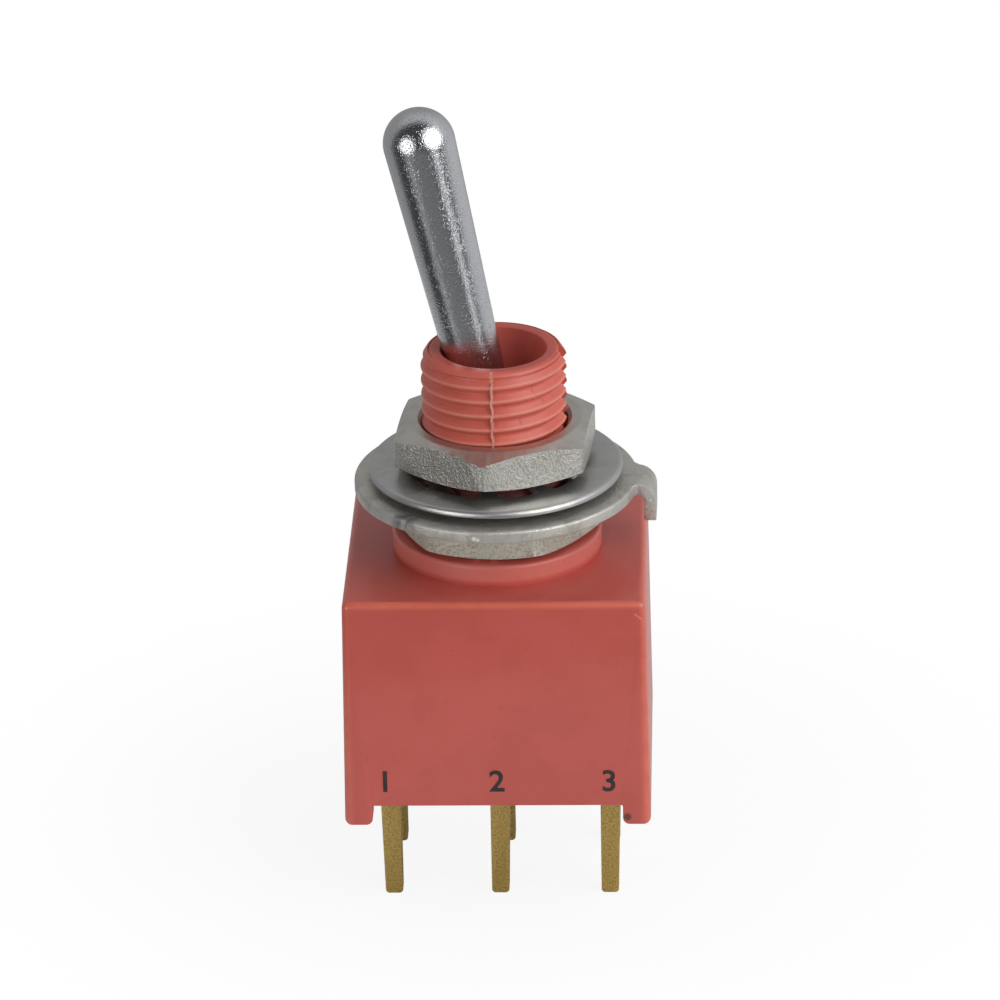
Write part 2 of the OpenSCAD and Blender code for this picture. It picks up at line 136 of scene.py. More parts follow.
def about_z(degrees: float) -> Matrix:
    """A turn about the Z axis."""
    return Matrix.Rotation(math.radians(degrees), 4, "Z")


def select_only(obj: Obj) -> None:
    """Selects one object alone and makes it the active one.

    Args:
        obj: The object.
    """
    bpy.ops.object.select_all(action="DESELECT")
    obj.select_set(True)
    bpy.context.view_layer.objects.active = obj


def apply_place() -> None:
    """Puts the selected object's place, turn and scale into its mesh."""
    bpy.ops.object.transform_apply(location=True, rotation=True, scale=True)


def move(obj: Obj, matrix: Matrix) -> Obj:
    """Moves, turns or scales an object's mesh.

    Args:
        obj: The object.
        matrix: The move.

    Returns:
        The same object.
    """
    select_only(obj)
    obj.matrix_world = matrix
    apply_place()
    return obj


def to_metres(obj: Obj, smooth: float = 35.0) -> None:
    """Brings a finished shape to metres and smooths edges that turn by less than so many degrees."""
    move(obj, Matrix.Scale(MM, 4))
    bpy.ops.object.shade_smooth_by_angle(angle=math.radians(smooth))


def primitive(name: str, add: Callable[..., Any], **settings: Any) -> Obj:
    """Adds a primitive.

    Args:
        name: Name of the new object.
        add: The primitive's operator.
        **settings: The operator's settings.

    Returns:
        The new object, with its place in its mesh.
    """
    bpy.ops.object.select_all(action="DESELECT")
    add(**settings)
    obj = bpy.context.object
    obj.name = obj.data.name = name
    apply_place()
    return obj


def block(name: str, low: Sequence[float], high: Sequence[float]) -> Obj:
    """Adds a block between its lowest and its highest corner."""
    middle, size = zip(*(((a + b) / 2, b - a) for a, b in zip(low, high)))
    return primitive(name, ops.primitive_cube_add, size=1, location=middle, scale=size)


def rod(name: str, radius: float, low: float, high: float, sides: int, **place: Any) -> Obj:
    """Adds a round bar that stands on the Z axis between two heights, or in another place."""
    place = place or {"location": (0, 0, (low + high) / 2)}
    return primitive(name, ops.primitive_cylinder_add, vertices=sides, radius=radius, depth=high - low, **place)


def lying_rod(name: str, radius: float, length: float, sides: int, middle: Sequence[float]) -> Obj:
    """Adds a round bar that lies along Y."""
    return rod(name, radius, 0, length, sides, location=middle, rotation=LYING)


def edit(obj: Obj, mode: str = "VERT") -> None:
    """Takes an object into edit mode with nothing selected.

    Args:
        obj: The object.
        mode: What is selected from then on: VERT, EDGE or FACE.
    """
    select_only(obj)
    bpy.ops.object.mode_set(mode="EDIT")
    ops.select_mode(type=mode)
    ops.select_all(action="DESELECT")


def select_all() -> None:
    """Selects the whole mesh in edit mode."""
    ops.select_all(action="SELECT")


def done() -> None:
    """Goes back to object mode."""
    bpy.ops.object.mode_set(mode="OBJECT")


def settle() -> None:
    """Turns all faces outwards and goes back to object mode."""
    select_all()
    ops.normals_make_consistent(inside=False)
    done()


def pick(obj: Obj, test: Test, mode: str = "VERT") -> None:
    """Selects what has all its corners in a place, beside what is selected already.

    Args:
        obj: The object in edit mode.
        test: Says whether a corner lies in the place.
        mode: What is selected: VERT or EDGE.
    """
    shape = bmesh.from_edit_mesh(obj.data)
    for item in shape.verts if mode == "VERT" else shape.edges:
        if all(test(v.co) for v in ([item] if mode == "VERT" else item.verts)):
            item.select_set(True)
    shape.select_flush_mode()
    bmesh.update_edit_mesh(obj.data)


def round_edges(obj: Obj, tests: Iterable[Test], radius: float, segments: int, clamp: bool = False) -> None:
    """Rounds the edges that lie in some places.

    Args:
        obj: The object.
        tests: Each says whether a corner lies in one place.
        radius: Radius of the rounding.
        segments: Faces across the rounding.
        clamp: Whether roundings stop where they meet.
    """
    edit(obj, "EDGE")
    for test in tests:
        pick(obj, test, "EDGE")
    ops.bevel(offset=radius, segments=segments, affect="EDGES", clamp_overlap=clamp)
    done()


def chain(name: str, spots: Sequence[Vector], closed: bool = False) -> Obj:
    """Draws edges by pulling one vertex out from spot to spot.

    Args:
        name: Name of the new object.
        spots: Where the edges go.
        closed: Whether they run back to the start and are filled.

    Returns:
        The edges, or the filled face.
    """
    obj = primitive(name, ops.primitive_plane_add, size=1)
    edit(obj)
    select_all()
    ops.merge(type="CENTER")
    bpy.ops.transform.translate(value=spots[0])
    for here, there in zip(spots, spots[1:]):
        ops.extrude_region_move(TRANSFORM_OT_translate={"value": there - here})
    if closed:
        ops.select_all(action="DESELECT")
        pick(obj, lambda co: any((co - end).length < 1e-4 for end in (spots[0], spots[-1])))
        ops.edge_face_add()
        select_all()
        ops.edge_face_add()
    done()
    return obj


def turned(name: str, corners: Sequence[Corner], steps: int = 128, arc: int = 5) -> Obj:
    """Turns an outline about the Z axis.

    Args:
        name: Name of the new object.
        corners: Corners as (radius, height, rounding). An outline that doesn't start on the axis
            runs back to its first corner.
        steps: Steps in the full turn.
        arc: Edges in each rounding.

    Returns:
        The turned shape.
    """
    points = outline(corners, arc)
    if points[0][0] > 0:
        points.append(points[0])
    obj = chain(name, [Vector((r, 0, z)) for r, z in points])
    edit(obj)
    select_all()
    ops.spin(steps=steps, angle=FULL_TURN, center=(0, 0, 0), axis=(0, 0, 1))
    select_all()
    ops.remove_doubles(threshold=1e-4)
    settle()
    return obj


def slab(
    name: str, corners: Sequence[Corner], low: float, high: float, upright: bool = False, arc: int = 5
) -> Obj:
    """Extrudes a filled outline.

    Args:
        name: Name of the new object.
        corners: Corners in X and Z, or in X and Y for an upright slab.
        low: Where the slab starts along Y, or along Z for an upright slab.
        high: Where it ends.
        upright: Whether it runs along Z and not along Y.
        arc: Edges in each rounding.

    Returns:
        The slab.
    """
    spots = [Vector((x, y, low) if upright else (x, low, y)) for x, y in outline(corners, arc)]
    depth = (0, 0, high - low) if upright else (0, high - low, 0)
    obj = chain(name, spots, closed=True)
    edit(obj, "FACE")
    select_all()
    ops.extrude_region_move(TRANSFORM_OT_translate={"value": depth})
    settle()
    return obj


def modify(obj: Obj, kind: str, **settings: Any) -> Obj:
    """Adds a modifier and applies it.

    Args:
        obj: The object.
        kind: The modifier's type.
        **settings: The modifier's settings.

    Returns:
        The same object.
    """
    select_only(obj)
    modifier = obj.modifiers.new(kind.title(), kind)
    for key, value in settings.items():
        setattr(modifier, key, value)
    bpy.ops.object.modifier_apply(modifier=modifier.name)
    return obj


def wind(obj: Obj, pitch: float, turns: int, steps: int) -> None:
    """Sweeps a loop of edges up a helix about Z and closes both ends.

    Args:
        obj: The loop.
        pitch: Rise in each turn.
        turns: Number of turns.
        steps: Steps in each turn.
    """
    sweep = {"angle": FULL_TURN, "screw_offset": pitch, "iterations": turns, "use_merge_vertices": False}
    modify(obj, "SCREW", steps=steps, render_steps=steps, **sweep)
    edit(obj)
    select_all()
    ops.fill_holes(sides=0)
    settle()


def combine(obj: Obj, how: Join, *tools: Obj) -> Obj:
    """Adds closed shapes to an object, cuts them from it, or keeps what they share.

    Args:
        obj: The object that is changed.
        how: What is done.
        *tools: The other shapes, which are used up.

    Returns:
        The changed object.
    """
    for tool in tools:
        modify(obj, "BOOLEAN", operation=how.value, object=tool, solver="EXACT")
        bpy.data.objects.remove(tool)
    return obj


def gather(obj: Obj, *others: Obj) -> Obj:
    """Joins other objects to the first, as shapes that lie side by side.

    Args:
        obj: The first object.
        *others: The other objects.

    Returns:
        The joined object.
    """
    select_only(obj)
    for other in others:
        other.select_set(True)
    bpy.ops.object.join()
    return obj


def soften(obj: Obj, width: float, angle: float = 40.0, segments: int = 2) -> Obj:
    """Rounds the edges of an object that turn by more degrees than an angle."""
    limits = {"limit_method": "ANGLE", "angle_limit": math.radians(angle), "miter_outer": "MITER_ARC"}
    return modify(obj, "BEVEL", width=width, segments=segments, use_clamp_overlap=True, **limits)


# ---- Shader sums ----


class Wire:
    """A shader value that sums can be written on; each operator adds one Math node."""

    def __init__(self, graph: "Graph", socket: bpy.types.NodeSocket) -> None:
        """Wraps an output socket of a graph."""
        self.graph, self.socket = graph, socket

    def maths(self, operation: str, *others: "Term") -> "Wire":
        """Adds a Math node on this value and others."""
        return self.graph.maths(operation, self, *others)

    def __rsub__(self, other: "Term") -> "Wire":
        """Another value less this one."""
        return self.graph.maths("SUBTRACT", other, self)

    __add__ = __radd__ = partialmethod(maths, "ADD")
    __mul__ = __rmul__ = partialmethod(maths, "MULTIPLY")
    __sub__ = partialmethod(maths, "SUBTRACT")
    __pow__ = partialmethod(maths, "POWER")
    __abs__ = partialmethod(maths, "ABSOLUTE")
    least = partialmethod(maths, "MINIMUM")
    most = partialmethod(maths, "MAXIMUM")

    def rise(self, low: float, high: float) -> "Wire":
        """A smooth step from nought where this value is low to one where it is high."""
        sockets = {"Value": self, "From Min": low, "From Max": high}
        return self.graph.add("MapRange", sockets, "Result", interpolation_type="SMOOTHSTEP")

    def fall(self, low: float, high: float) -> "Wire":
        """A smooth step from one where this value is low to nought where it is high."""
        return 1 - self.rise(low, high)


Term = Union[Wire, int, float]
Sockets = Mapping[Union[str, int], Any]


class Graph:
    """A node tree under construction."""

    def __init__(self, tree: bpy.types.NodeTree) -> None:
        """Clears a node tree to build in."""
        self.tree = tree
        tree.nodes.clear()

    def node(self, kind: str, sockets: Sockets, **settings: Any) -> bpy.types.Node:
        """Adds a node.

        Args:
            kind: The node's type, less its prefix.
            sockets: Values or links of its input sockets, by name or place.
            **settings: The node's own settings.

        Returns:
            The node.
        """
        node = self.tree.nodes.new("ShaderNode" + kind)
        for key, value in settings.items():
            setattr(node, key, value)
        for key, value in sockets.items():
            socket = node.inputs[key]
            if isinstance(value, Wire):
                self.tree.links.new(value.socket, socket)
            else:
                socket.default_value = (*value, 1.0) if socket.type == "RGBA" else value
        return node

    def add(self, kind: str, sockets: Sockets, out: Union[str, int] = 0, **settings: Any) -> Wire:
        """Adds a node and gives one of its outputs, by name or place."""
        return Wire(self, self.node(kind, sockets, **settings).outputs[out])

    def maths(self, operation: str, *terms: Term) -> Wire:
        """Adds a Math node and gives its result."""
        return self.add("Math", dict(enumerate(terms)), operation=operation)

    def from_camera(self) -> Wire:
        """One for what the camera sees itself, and nought for the rest."""
        return self.add("LightPath", {}, "Is Camera Ray")

    def paint(self, base: Union[Wire, Colour], *coats: tuple[Term, Colour]) -> Wire:
        """Lays colours over one another.

        Args:
            base: The lowest colour.
            *coats: The colours over it, each as (share, colour).

        Returns:
            The mixed colour.
        """
        for share, colour in coats:
            base = self.add("Mix", {0: share, 6: base, 7: colour}, 2, data_type="RGBA")
        return base


class Surface(Graph):
    """The nodes of one finish, on coordinates in millimetres."""

    def __init__(self, name: str) -> None:
        """Starts a new material.

        Args:
            name: The material's name.
        """
        self.material = bpy.data.materials.new(name)
        self.material.use_nodes = True
        super().__init__(self.material.node_tree)
        self.mm = self.coordinates(1.0)

    def coordinates(self, up: float) -> Wire:
        """Object coordinates in millimetres, with the heights times a factor."""
        spot = self.add("TexCoord", {}, "Object")
        return self.add("Mapping", {"Vector": spot, "Scale": (1 / MM, 1 / MM, up / MM)})

    def axis(self, letter: str) -> Wire:
        """One coordinate in millimetres: X, Y or Z."""
        return self.add("SeparateXYZ", {0: self.mm}, letter)

    def noise(self, grain: float, detail: float = 3.0, rough: float = 0.55, at: Optional[Wire] = None) -> Wire:
        """Noise about one half, in patches of about one grain, with finer layers of some roughness."""
        sockets = {"Vector": at or self.mm, "Scale": 1 / grain, "Detail": detail, "Roughness": rough}
        return self.add("TexNoise", sockets, "Fac")

    def dot(self, place: Spot, inner: float, outer: float) -> Wire:
        """A round mark: one within its inner radius, nought beyond its outer one."""
        return self.add("VectorMath", {0: self.mm, 1: place}, "Value", operation="DISTANCE").fall(inner, outer)

    def bump(self, height: Wire, depth: float, strength: float = 1.0) -> Wire:
        """The normal bent by a relief whose depth is in millimetres."""
        return self.add("Bump", {"Strength": strength, "Distance": depth * MM, "Height": height}, "Normal")

    def close(self, **sockets: Any) -> Material:
        """Ends the finish in a Principled shader.

        Args:
            **sockets: Its inputs; an underscore stands for a space in a name.

        Returns:
            The material.
        """
        named = {key.replace("_", " "): value for key, value in sockets.items()}
        self.node("OutputMaterial", {"Surface": self.add("BsdfPrincipled", named, "BSDF")})
        return self.material


def srgb(*channels: int) -> Colour:
    """Turns red, green and blue screen values, from 0 to 255, to the linear ones that shaders take."""
    shares = (value / 255 for value in channels)
    return tuple(x / 12.92 if x <= 0.04045 else ((x + 0.055) / 1.055) ** 2.4 for x in shares)


# ---- Finishes: each place is in millimetres, each tone a colour ----


@dataclass(frozen=True)
class RedMoulding:
    """The red thermoplastic of the case, with faint flow clouds and dark flecks; its thin edges, thread crests,
    collar and parting fins carry painted highlights, and its bore and the thread near the nuts carry painted
    shade.
    """

    half_w: float
    half_d: float
    name: str = "red_moulding"
    body: Colour = srgb(191, 83, 74)
    cloud: Colour = srgb(182, 78, 66)
    edge: Colour = srgb(222, 112, 86)
    fleck: Colour = srgb(112, 40, 36)
    pale: Colour = srgb(214, 124, 112)
    crest: Colour = srgb(232, 150, 132)
    deep: Colour = srgb(158, 44, 42)
    gap_shade_tone: Colour = srgb(70, 30, 26)
    fin_highlight: Colour = srgb(206, 172, 158)
    speck: Colour = srgb(60, 34, 32)
    nick: Colour = srgb(236, 176, 150)
    bore_r: float = 2.5
    collar_r: float = 4.2
    crest_r: float = 3.0
    gap_shade_low: float = 12.8
    gap_shade_high: float = 14.38
    speck_at: Spot = (5.45, -6.1, 0.36)
    scratch_at: Spot = (5.86, -6.1, 9.78)

    def build(self) -> Material:
        """Mixes the finish.

        Returns:
            The material.
        """
        s = Surface(self.name)
        clouds = s.noise(2.6, 3.0, 0.6).rise(0.4, 0.66)
        flecks = s.noise(0.15, 1.0, 0.4).rise(0.7, 0.78) * s.noise(1.7).rise(0.5, 0.62)
        x, y, z = abs(s.axis("X")), abs(s.axis("Y")), s.axis("Z")
        over_roof, over_collar, reach = z - CASE_TOP, z - COLLAR_TOP, (x * x + y * y) ** 0.5
        outside = reach.rise(self.bore_r, self.bore_r + 0.2)
        side = (x - self.half_w).rise(-0.5, -0.12)
        front = (y - self.half_d).rise(-0.34, -0.06)
        roof = over_roof.rise(-0.36, -0.08) * over_roof.fall(0.02, 0.1)
        thread = over_collar.rise(0.0, 0.1)
        edges = side.least(front).most(front.least(roof)).most(side.least(roof)).most(thread * 0.55)
        # Painted highlight: the case's edges, and the thread at a smaller share, are tinted a lighter orange in
        # patches
        wear_and_highlight = edges * (0.6 + 0.4 * s.noise(0.9, 4.0, 0.6).rise(0.3, 0.6))
        # Painted sheen: the collar's side is tinted paler
        collar = over_roof.rise(0.1, 0.3) * reach.rise(self.collar_r, self.collar_r + 0.16)
        # Painted highlight: the parting fins are paler in patches
        fin = thread * outside * x.fall(0.03, 0.1) * (0.3 + 0.7 * s.noise(0.2).rise(0.4, 0.6))
        # Painted shade: a band of thread beside the ring and washer, under the upper nut, is darker
        gap_shade = z.rise(self.gap_shade_low, self.gap_shade_low + 0.3) * z.fall(self.gap_shade_high, self.gap_shade_high + 0.1)
        across, face, up = self.scratch_at
        colour = s.paint(
            self.body,
            (clouds * 0.55, self.cloud),
            # Painted highlight on the case's edges and thread
            (wear_and_highlight * 0.7, self.edge),
            # Painted sheen: all above the case's roof is a little paler, and the collar's side more so
            (over_roof.rise(0.04, 0.2) * 0.12 * outside, self.pale),
            (collar * 0.5, self.pale),
            # Painted shade: the inside of the bore is darker
            (over_roof.rise(0.5, 1.0) * (1 - outside) * 0.35, self.deep),
            # Painted highlight: the thread's crests are lighter
            (thread * reach.rise(self.crest_r, self.crest_r + 0.05) * 0.42, self.crest),
            # Painted highlight on the parting fins
            (fin * 0.6, self.fin_highlight),
            # Painted shade on the thread near the nuts
            (gap_shade * outside * 0.8, self.gap_shade_tone),
            (flecks * 0.35, self.fleck),
            (s.dot(self.speck_at, 0.1, 0.24) * 0.8, self.speck),
            *((s.dot((across + 0.06 * i, face, up - 0.05 * i), 0.0, 0.07) * 0.4, self.nick) for i in range(5)),
        )
        return s.close(
            Base_Color=colour,
            Roughness=0.34 + 0.14 * s.noise(0.5) - 0.05 * clouds,
            Normal=s.bump(s.noise(0.08, 2.0, 0.6) + 0.5 * s.noise(0.5), 0.006, 0.55),
            IOR=1.5,
            Coat_Weight=0.35 * over_roof.fall(-0.05, 0.1),
            Coat_Roughness=0.14,
        )


class Plate(Enum):
    """How a nickel-plated face was worked."""

    TURNED = "turned"
    TUMBLED = "tumbled"
    STAMPED = "stamped"


@dataclass(frozen=True)
class Nickel:
    """Nickel plate: satin where it was turned, dented and mottled where it was tumbled."""

    name: str
    plate: Plate
    tone: Colour = srgb(204, 202, 196)
    dull: Colour = srgb(128, 125, 118)
    warm: Colour = srgb(200, 194, 172)
    blued: Colour = srgb(66, 70, 88)
    glint: Colour = srgb(252, 250, 240)
    metal: float = 1.0
    matt: float = 0.0
    smear_at: Spot = (-3.7, -4.6, 13.4)
    glint_at: Spot = (-0.74, -5.95, 13.16)
    small_glint_at: Spot = (-0.6, -5.95, 13.12)

    def build(self) -> Material:
        """Mixes the finish.

        Returns:
            The material.
        """
        s = Surface(self.name)
        fine, patches = s.noise(0.07, 2.0, 0.6), s.noise(0.6, 3.0, 0.6)
        if self.plate is Plate.TUMBLED:
            dents = s.noise(0.11, 2.0, 0.6)
            mottle = dents.rise(0.46, 0.62) * (0.4 + 0.6 * patches.rise(0.3, 0.6))
            coats = [(mottle * 0.5, self.dull), (patches.rise(0.45, 0.7) * 0.35, self.warm)]
            rough = 0.31 + self.matt + 0.14 * dents
            relief = s.bump(dents + 0.5 * patches + 0.3 * fine, 0.042)
        else:
            is_turned = self.plate is Plate.TURNED
            wear_and_highlight, base_rough, nicked, depth = (0.2, 0.33, 0.3, 0.01) if is_turned else (0.4, 0.42, 0.5, 0.024)
            smears, nicks = s.noise(0.7, 3.0, 0.6, s.coordinates(0.4)), s.noise(0.26, 2.0, 0.5).rise(0.58, 0.68)
            coats = [(smears.rise(0.4, 0.75) * wear_and_highlight, self.dull), (patches.rise(0.5, 0.7) * 0.3, self.warm)]
            if not is_turned:
                smear = s.dot(self.smear_at, 0.2, 0.9) * smears.rise(0.3, 0.55)
                # Painted highlight: two small near-white glints on the ring's front edge
                glint = s.dot(self.glint_at, 0.05, 0.15).most(s.dot(self.small_glint_at, 0.03, 0.14))
                coats += [(smear * 0.75, self.blued), (glint * 0.8, self.glint)]
            rough = base_rough + 0.12 * smears
            relief = s.bump(fine + smears + nicked * nicks, depth)
        colour = s.paint(self.tone, *coats)
        return s.close(Base_Color=colour, Metallic=self.metal, Roughness=rough, Normal=relief)


@dataclass(frozen=True)
class Chrome:
    """Bright chrome on the lever, over a fine grain of small dents left by tumbling."""

    name: str = "chrome"
    tone: Colour = srgb(200, 202, 206)
    haze: Colour = srgb(142, 144, 150)
    cell: float = 0.1

    def build(self) -> Material:
        """Mixes the finish.

        Returns:
            The material.
        """
        s = Surface(self.name)
        hazed = s.noise(0.6, 3.0, 0.6).rise(0.35, 0.65)
        cells = s.add("TexVoronoi", {"Vector": s.mm, "Scale": 1 / self.cell}, "Distance")
        pits = cells.fall(0.1, 0.5) * (0.4 + 0.6 * hazed)
        colour = s.paint(self.tone, (pits * 0.5, self.haze))
        relief = s.bump(0.8 * s.noise(0.05, 2.0, 0.6) - 0.7 * pits, 0.0105)
        return s.close(Base_Color=colour, Metallic=1.0, Roughness=0.1 + 0.1 * pits, Normal=relief)


@dataclass(frozen=True)
class PinGold:
    """Thin gold plate on stamped brass, speckled, with grey stains next to the case."""

    name: str = "pin_gold"
    stain_low: float = -1.0
    stain_high: float = 0.9
    stain_at: Spot = (0.0, -2.8, 0.8)
    tone: Colour = srgb(198, 170, 100)
    pale: Colour = srgb(228, 210, 148)
    bare: Colour = srgb(134, 112, 66)
    stain: Colour = srgb(148, 142, 140)

    def build(self) -> Material:
        """Mixes the finish.

        Returns:
            The material.
        """
        s = Surface(self.name)
        speckle, patches = s.noise(0.09, 3.0, 0.75), s.noise(0.4, 3.0, 0.6, s.coordinates(0.4))
        near_case = s.axis("Z").rise(self.stain_low, self.stain_high)
        stained = near_case * patches.rise(0.44, 0.56).most(s.dot(self.stain_at, 0.3, 0.9))
        colour = s.paint(
            self.tone,
            (speckle.rise(0.46, 0.6) * 0.7, self.bare),
            (speckle.rise(0.6, 0.7) * patches.rise(0.4, 0.6), self.pale),
            (stained * 0.8, self.stain),
        )
        rough = 0.3 + 0.2 * speckle + 0.15 * stained
        relief = s.bump(speckle + patches, 0.012, 0.8)
        return s.close(Base_Color=colour, Metallic=0.95 - 0.5 * stained, Roughness=rough, Normal=relief)


@dataclass(frozen=True)
class PlainFinish:
    """A simple moulded, rubber or metal finish with a fine grain."""

    name: str
    tone: Colour
    shade: Colour
    rough: float
    metal: float = 0.0
    grain: float = 0.12
    depth: float = 0.005

    def build(self) -> Material:
        """Mixes the finish.

        Returns:
            The material.
        """
        s = Surface(self.name)
        patches = s.noise(self.grain * 6)
        colour = s.paint(self.tone, (patches.rise(0.35, 0.7) * 0.6, self.shade))
        relief = s.bump(s.noise(self.grain, 2.0), self.depth, 0.6)
        rough = self.rough + 0.12 * patches
        return s.close(Base_Color=colour, Metallic=self.metal, Roughness=rough, Normal=relief)


# ---- What all pieces share ----


@dataclass(frozen=True)
class Span:
    """A CAD node's box at rest, in millimetres."""

    low: Vector
    high: Vector

    @classmethod
    def of(cls, node: str) -> "Span":
        """The box of one node."""
        low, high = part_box(node)
        return cls(Vector(low) / MM, Vector(high) / MM)

    @property
    def size(self) -> Vector:
        """Width, depth and height."""
        return self.high - self.low

    @property
    def middle(self) -> Vector:
        """The box's middle."""
        return (self.low + self.high) / 2


@dataclass
class Piece:
    """A piece of the switch, which takes its place from a CAD node and stands for it."""

    name: str
    node: str
    finish: Material
    body: ClassVar[str] = "switch_body"
    slot: ClassVar[str] = "nickel"
    smooth: ClassVar[float] = 35.0
    stands_for_node: ClassVar[bool] = True

    @cached_property
    def box(self) -> Span:
        """The CAD node's box."""
        return Span.of(self.node)

    def model(self) -> Obj:
        """Models the piece in millimetres; each kind of piece has its own way."""
        raise NotImplementedError

    def build(self) -> Obj:
        """Models the piece, dresses it and makes it ride on its body.

        Returns:
            The finished piece.
        """
        obj = self.model()
        to_metres(obj, self.smooth)
        if not obj.data.materials:
            obj.data.materials.append(self.finish)
        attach(obj, self.body)
        if self.stands_for_node:
            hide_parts(self.node)
        LOG.info("%s: %d faces on %s", obj.name, len(obj.data.polygons), self.body)
        return obj


# ---- Housing ----


@dataclass
class Housing(Piece):
    """The red moulded case with its collar and threaded bushing."""

    slot: ClassVar[str] = "red_plastic"
    top_w: float = 12.6
    edge_r: float = 0.28
    rail_h: float = 0.9
    rail_w: float = 1.18
    wall: float = 0.85
    ledge_w: float = 0.6
    pocket_r: float = 0.5
    base_top: float = 3.11
    roof: float = 1.0
    collar_r: float = 4.42
    collar_edge: float = 0.14
    crest_r: float = 3.06
    core_r: float = 2.86
    rim_r: float = 2.8
    rim_lead: float = 0.42
    mouth_r: float = 2.23
    throat_r: float = 1.09
    seat_r: float = 2.15
    slot_r: float = 0.5
    slot_y: float = 2.5
    key_w: float = 0.86
    key_t: float = 0.36
    key_foot: float = 0.2
    pitch: float = 0.635
    crest_w: float = 0.07
    ridge_w: float = 0.56
    flash_w: float = 0.09
    flash_out: float = 0.02
    flash_steps: int = 32
    past: float = 0.5

    def case(self) -> Obj:
        """Models the case: a leaning block on two rails, with rounded outer edges.

        Returns:
            The case.
        """
        foot, top, half_d = self.box.size.x / 2, self.top_w / 2, self.box.high.y
        rail = foot - self.rail_w
        corners = [
            (-foot, 0), (-rail, 0), (-rail, self.rail_h, 0.1), (rail, self.rail_h, 0.1),
            (rail, 0), (foot, 0), (top, CASE_TOP), (-top, CASE_TOP),
        ]
        case = slab(self.name, corners, -half_d, half_d)
        tests: list[Test] = [lambda co: is_near(co.z, CASE_TOP)]
        for x in (-1, 1):
            for y in (-half_d, half_d):
                tests.append(lambda co, x=x, y=y: co.x * x > top - 0.1 and is_near(co.y, y))
            for at in (x * rail, x * foot):
                tests.append(lambda co, at=at: is_near(co.z, 0) and is_near(co.x, at))
        round_edges(case, tests, self.edge_r, 5, clamp=True)
        return soften(case, 0.06, 50.0)

    def pocket(self) -> list[Obj]:
        """The hollow for the contacts, narrowed above the insulating base.

        Returns:
            The shapes that are cut away.
        """
        half_x, half_y = self.top_w / 2 - self.wall, self.box.high.y - self.wall
        turns = ((-1, -1), (1, -1), (1, 1), (-1, 1))
        return [
            slab("pocket", [(i * half_x, j * y, self.pocket_r) for i, j in turns], low, high, upright=True)
            for y, low, high in (
                (half_y, -self.past, self.base_top),
                (half_y - self.ledge_w, self.base_top - 0.02, CASE_TOP - self.roof),
            )
        ]

    def bushing(self) -> list[Obj]:
        """The collar with the thread's core, and the helical ridge trimmed to the crests' outline.

        Returns:
            Both, as closed shapes.
        """
        rim_z, low = self.box.high.z, CASE_TOP - self.roof - 0.1
        core = turned("collar", [
            (0, low), (self.collar_r, low), (self.collar_r, COLLAR_TOP, self.collar_edge),
            (self.core_r, COLLAR_TOP, 0.05), (self.core_r, rim_z - 0.32, 0.06),
            (self.rim_r - 0.1, rim_z, 0.1), (0, rim_z),
        ], 160)
        root, foot, crest = self.core_r - 0.12, self.ridge_w / 2, self.crest_w / 2
        section = outline([
            (root, -foot - 0.03), (self.core_r, -foot), (self.crest_r, -crest, 0.03),
            (self.crest_r, crest, 0.03), (self.core_r, foot), (root, foot + 0.03),
        ], 3)
        start = COLLAR_TOP - self.pitch
        ridge = chain("thread_ridge", [Vector((r, 0, start + z)) for r, z in section], closed=True)
        edit(ridge, "FACE")
        select_all()
        ops.delete(type="ONLY_FACE")
        done()
        wind(ridge, self.pitch, math.ceil((rim_z - start) / self.pitch) + 1, 96)
        blank = turned("blank", [
            (0, COLLAR_TOP), (self.crest_r, COLLAR_TOP), (self.crest_r, rim_z - self.rim_lead, 0.1),
            (self.rim_r, rim_z, 0.12), (self.mouth_r - 0.3, rim_z), (0, rim_z),
        ])
        return [core, combine(ridge, Join.MEET, blank)]

    def flash(self) -> Obj:
        """The thin, swaying fins that the mould's parting leaves down the front and the back.

        Returns:
            Both fins, as closed shapes.
        """
        low, high = COLLAR_TOP + 0.1, self.box.high.z - self.rim_lead + 0.1
        rise, half = (high - low) / self.flash_steps, self.flash_w / 2
        spine = [
            (0.035 * math.sin(2.2 * i) + 0.02 * math.sin(5.1 * i + 1), low + i * rise)
            for i in range(self.flash_steps + 1)
        ]
        loop = [(x - half, z) for x, z in spine] + [(x + half, z) for x, z in reversed(spine)]
        front, back = (slab("fin", loop, -self.crest_r - self.flash_out, 0.2 - self.core_r) for _ in range(2))
        return gather(front, move(back, about_z(180)))

    def bore(self) -> list[Obj]:
        """The lever's mouth, the ball's seat, the way in, the cross pin's slots and the keyway.

        Returns:
            The shapes that are cut away.
        """
        rim_z, low, out = self.box.high.z, CASE_TOP - self.roof - self.past, self.mouth_r + 0.8
        mouth = turned("mouth", [
            (0, PIVOT_Z), (self.throat_r, PIVOT_Z), (self.mouth_r, rim_z, 0.07), (out, rim_z + 0.02),
            (out, rim_z + self.past), (0, rim_z + self.past),
        ], 96)
        seat = primitive(
            "seat", ops.primitive_uv_sphere_add, segments=64, ring_count=32,
            radius=self.seat_r, location=(0, 0, PIVOT_Z),
        )
        # The rods are a micron smaller, so that no face lies on another
        shaft = rod("shaft", self.seat_r - 0.001, low, PIVOT_Z, 64)
        slots = block("slots", (-self.slot_r, -self.slot_y, low), (self.slot_r, self.slot_y, PIVOT_Z))
        rounds = lying_rod("rounds", self.slot_r - 0.001, 2 * self.slot_y - 0.002, 32, (0, 0, PIVOT_Z))
        key_x, half_w = self.crest_r - self.key_t, self.key_w / 2
        key = block("keyway", (key_x, -half_w, COLLAR_TOP + self.key_foot), (key_x + 2, half_w, rim_z + 1))
        return [mouth, seat, shaft, slots, rounds, move(key, about_z(KEY_TURN))]

